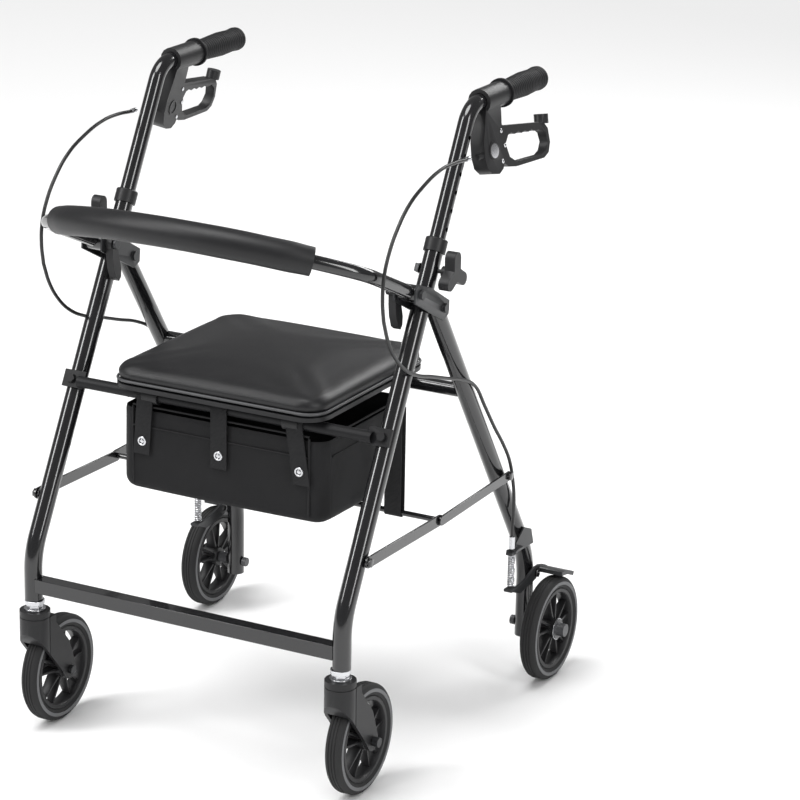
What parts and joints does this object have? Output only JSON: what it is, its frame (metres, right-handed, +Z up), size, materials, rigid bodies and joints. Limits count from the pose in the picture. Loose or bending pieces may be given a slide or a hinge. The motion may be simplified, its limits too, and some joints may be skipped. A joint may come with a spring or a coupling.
{
  "type": "rollator walker",
  "caption": "Folding wheeled walker with a padded seat, under-seat bag, bowed padded backrest, height-adjustable handles and loop brakes.",
  "frame": {"origin": "on the floor, under the middle of the walker's box", "axes": "+Z up, -Y to the front (caster end), +X to the user's left"},
  "size_m": [0.626, 0.6888, 0.9045],
  "materials": {
    "black_paint": "high gloss black powder coat",
    "black_steel": "satin black zinc or e-coat",
    "black_plastic": "fine moulded grain",
    "tyre_rubber": "matt ribbed rubber",
    "grip_rubber": "soft textured rubber",
    "vinyl": "vinyl-coated fabric over foam, fine leather grain, satin",
    "nylon": "ribbed nylon weave",
    "chrome": "bright plated",
    "cable_jacket": "smooth black jacket"
  },
  "bodies": {
    "front_frame": {"left_front_leg": "black_paint", "right_front_leg": "black_paint", "front_crossbar": "black_paint", "front_seat_bar": "black_paint", "left_leg_bush": "black_plastic", "right_leg_bush": "black_plastic", "left_pivot_bracket": "black_steel", "right_pivot_bracket": "black_steel", "left_height_bolt": "black_steel", "right_height_bolt": "black_steel", "storage_bag": "nylon", "left_caster_stem": "chrome", "right_caster_stem": "chrome", "left_brake_cable": "cable_jacket", "right_brake_cable": "cable_jacket"},
    "rear_frame": {"left_rear_leg": "black_paint", "right_rear_leg": "black_paint", "rear_seat_tube": "black_paint", "left_rear_axle": "black_steel", "right_rear_axle": "black_steel", "left_cable_bracket": "black_steel", "right_cable_bracket": "black_steel", "left_brake_spring": "chrome", "right_brake_spring": "chrome"},
    "front_spreader": {"left_front_link": "black_paint", "right_front_link": "black_paint", "fold_rod": "black_paint"},
    "rear_spreader": {"left_rear_link": "black_paint", "right_rear_link": "black_paint"},
    "seat": {"seat_board": "black_plastic", "seat_pad": "vinyl"},
    "backrest": {"backrest_tube": "black_paint", "backrest_pad": "vinyl"},
    "left_handle": {"left_handle_tube": "black_paint", "left_grip": "grip_rubber", "left_brake_housing": "black_plastic"},
    "left_lever": {"left_brake_lever": "black_plastic"},
    "left_shoe": {"left_brake_shoe": "black_steel"},
    "left_knob": {"left_height_knob": "black_plastic"},
    "left_release": {"left_release_lever": "black_plastic"},
    "left_caster": {"left_caster_fork": "black_plastic", "left_front_axle": "black_steel"},
    "left_front_wheel": {"left_front_tyre": "tyre_rubber", "left_front_rim": "black_plastic"},
    "left_rear_wheel": {"left_rear_tyre": "tyre_rubber", "left_rear_rim": "black_plastic"},
    "right_handle": {"right_handle_tube": "black_paint", "right_grip": "grip_rubber", "right_brake_housing": "black_plastic"},
    "right_lever": {"right_brake_lever": "black_plastic"},
    "right_shoe": {"right_brake_shoe": "black_steel"},
    "right_knob": {"right_height_knob": "black_plastic"},
    "right_release": {"right_release_lever": "black_plastic"},
    "right_caster": {"right_caster_fork": "black_plastic", "right_front_axle": "black_steel"},
    "right_front_wheel": {"right_front_tyre": "tyre_rubber", "right_front_rim": "black_plastic"},
    "right_rear_wheel": {"right_rear_tyre": "tyre_rubber", "right_rear_rim": "black_plastic"}
  },
  "joints": [
    {"name": "frame_fold", "type": "hinge", "parent": "front_frame", "child": "rear_frame", "pos_m": [0, -0.0355, 0.631], "axis": [1, 0, 0], "range_deg": [-32, 0], "deforming": ["storage_bag", "left_brake_cable", "right_brake_cable"]},
    {"name": "front_link_turn", "type": "hinge", "parent": "front_frame", "child": "front_spreader", "pos_m": [0, -0.2326, 0.3345], "axis": [1, 0, 0], "range_deg": [0, 41.8]},
    {"name": "rear_link_turn", "type": "hinge", "parent": "rear_frame", "child": "rear_spreader", "pos_m": [0, 0.167, 0.335], "axis": [1, 0, 0], "range_deg": [-41.4, 0]},
    {"name": "seat_lift", "type": "hinge", "parent": "front_frame", "child": "seat", "pos_m": [0, -0.1725, 0.484], "axis": [1, 0, 0], "range_deg": [0, 75]},
    {"name": "backrest_swing", "type": "hinge", "parent": "front_frame", "child": "backrest", "pos_m": [0, -0.1015, 0.665], "axis": [1, 0, 0], "range_deg": [-85, 0]},
    {"name": "left_height", "type": "slide", "parent": "front_frame", "child": "left_handle", "axis": [0, 0.4695, 0.8829], "range_m": [-0.13, 0.043], "deforming": ["left_brake_cable"]},
    {"name": "left_squeeze", "type": "hinge", "parent": "left_handle", "child": "left_lever", "pos_m": [0.2547, 0.09504, 0.81852], "axis": [0.9785, -0.0872, 0.1867], "range_deg": [0, 8], "stiffness_Nm_per_rad": 1.5, "springref_deg": -5.73},
    {"name": "left_shoe_press", "type": "hinge", "parent": "rear_frame", "child": "left_shoe", "pos_m": [0.262, 0.2636, 0.158], "axis": [-1, 0, 0], "range_deg": [0, 4.8], "deforming": ["left_brake_spring"]},
    {"name": "left_knob_turn", "type": "hinge", "parent": "front_frame", "child": "left_knob", "pos_m": [0.265, -0.04623, 0.68348], "axis": [1, 0, 0], "continuous": true},
    {"name": "left_release_pull", "type": "hinge", "parent": "front_frame", "child": "left_release", "pos_m": [0.221, -0.1015, 0.665], "axis": [1, 0, 0], "range_deg": [-20, 0], "stiffness_Nm_per_rad": 0.1, "springref_deg": 11.46},
    {"name": "left_caster_swivel", "type": "hinge", "parent": "front_frame", "child": "left_caster", "pos_m": [0.2415, -0.2705, 0.16], "axis": [0, 0, 1], "continuous": true},
    {"name": "left_front_spin", "type": "hinge", "parent": "left_caster", "child": "left_front_wheel", "pos_m": [0.2415, -0.2173, 0.0762], "axis": [1, 0, 0], "continuous": true},
    {"name": "left_rear_spin", "type": "hinge", "parent": "rear_frame", "child": "left_rear_wheel", "pos_m": [0.2861, 0.2684, 0.0762], "axis": [1, 0, 0], "continuous": true},
    {"name": "right_height", "type": "slide", "parent": "front_frame", "child": "right_handle", "axis": [0, 0.4695, 0.8829], "range_m": [-0.13, 0.043], "deforming": ["right_brake_cable"]},
    {"name": "right_squeeze", "type": "hinge", "parent": "right_handle", "child": "right_lever", "pos_m": [-0.2547, 0.09504, 0.81852], "axis": [0.9785, 0.0872, -0.1867], "range_deg": [0, 8], "stiffness_Nm_per_rad": 1.5, "springref_deg": -5.73},
    {"name": "right_shoe_press", "type": "hinge", "parent": "rear_frame", "child": "right_shoe", "pos_m": [-0.262, 0.2636, 0.158], "axis": [-1, 0, 0], "range_deg": [0, 4.8], "deforming": ["right_brake_spring"]},
    {"name": "right_knob_turn", "type": "hinge", "parent": "front_frame", "child": "right_knob", "pos_m": [-0.265, -0.04623, 0.68348], "axis": [1, 0, 0], "continuous": true},
    {"name": "right_release_pull", "type": "hinge", "parent": "front_frame", "child": "right_release", "pos_m": [-0.221, -0.1015, 0.665], "axis": [1, 0, 0], "range_deg": [-20, 0], "stiffness_Nm_per_rad": 0.1, "springref_deg": 11.46},
    {"name": "right_caster_swivel", "type": "hinge", "parent": "front_frame", "child": "right_caster", "pos_m": [-0.2415, -0.2705, 0.16], "axis": [0, 0, 1], "continuous": true},
    {"name": "right_front_spin", "type": "hinge", "parent": "right_caster", "child": "right_front_wheel", "pos_m": [-0.2415, -0.2173, 0.0762], "axis": [1, 0, 0], "continuous": true},
    {"name": "right_rear_spin", "type": "hinge", "parent": "rear_frame", "child": "right_rear_wheel", "pos_m": [-0.2861, 0.2684, 0.0762], "axis": [1, 0, 0], "continuous": true}
  ],
  "couplings": [
    {"joint": "front_link_turn", "follows": "frame_fold", "ratio": -1.3056},
    {"joint": "rear_link_turn", "follows": "frame_fold", "ratio": 1.2907},
    {"joint": "left_shoe_press", "follows": "left_squeeze", "ratio": 0.6},
    {"joint": "right_shoe_press", "follows": "right_squeeze", "ratio": 0.6}
  ]
}
